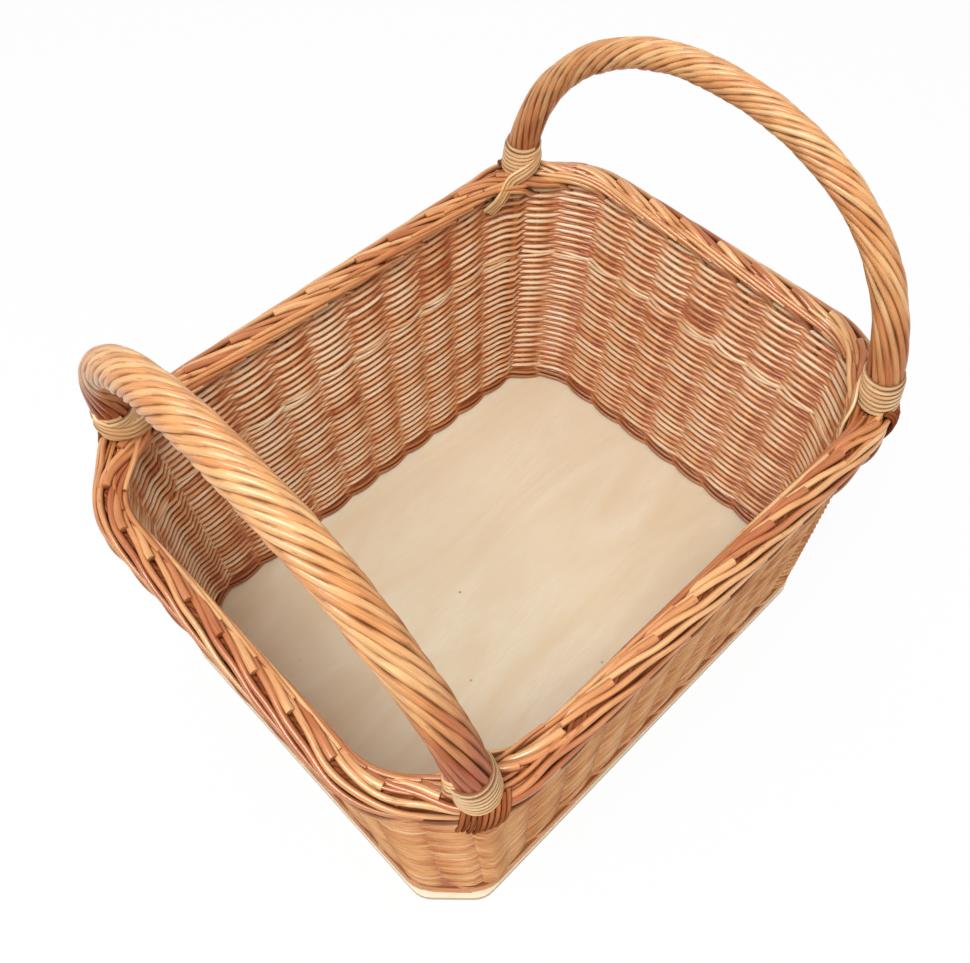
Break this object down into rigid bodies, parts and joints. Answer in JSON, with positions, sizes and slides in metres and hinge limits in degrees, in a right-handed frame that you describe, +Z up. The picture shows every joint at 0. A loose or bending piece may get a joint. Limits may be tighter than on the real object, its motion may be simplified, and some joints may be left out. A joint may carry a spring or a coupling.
{
  "type": "rectangular wicker basket",
  "caption": "Rectangular willow basket with cut corners, woven sides, a rolled rim, a plywood bottom and an arched rope-wrapped handle across each short end.",
  "frame": {"origin": "on the resting surface under the middle of the basket, at the bottom centre of its bounding box", "axes": "+Z up out of the open top, X along the length from one handle to the other, Y across the width"},
  "size_m": [0.5252, 0.4102, 0.4694],
  "materials": {
    "willow": "satin",
    "willow_weave": "satin",
    "willow_handle": "lacquered",
    "cane_lashing": "satin",
    "plywood": "matte"
  },
  "bodies": {
    "root": {"stake_01": "willow", "stake_02": "willow", "stake_03": "willow", "stake_04": "willow", "stake_05": "willow", "stake_06": "willow", "stake_07": "willow", "stake_08": "willow", "stake_09": "willow", "stake_10": "willow", "stake_11": "willow", "stake_12": "willow", "stake_13": "willow", "stake_14": "willow", "stake_15": "willow", "stake_16": "willow", "stake_17": "willow", "stake_18": "willow", "stake_19": "willow", "stake_20": "willow", "stake_21": "willow", "stake_22": "willow", "stake_23": "willow", "stake_24": "willow", "stake_25": "willow", "stake_26": "willow", "stake_27": "willow", "stake_28": "willow", "stake_29": "willow", "stake_30": "willow", "stake_31": "willow", "stake_32": "willow", "stake_33": "willow", "stake_34": "willow", "stake_35": "willow", "stake_36": "willow", "stake_37": "willow", "stake_38": "willow", "stake_39": "willow", "stake_40": "willow", "stake_41": "willow", "stake_42": "willow", "bottom_wale": "willow", "lower_weave": "willow_weave", "upper_weave": "willow_weave", "handle_left": "willow_handle", "lashing_left_front": "cane_lashing", "lashing_left_back": "cane_lashing", "handle_right": "willow_handle", "lashing_right_front": "cane_lashing", "lashing_right_back": "cane_lashing", "base_board": "plywood"}
  },
  "joints": []
}
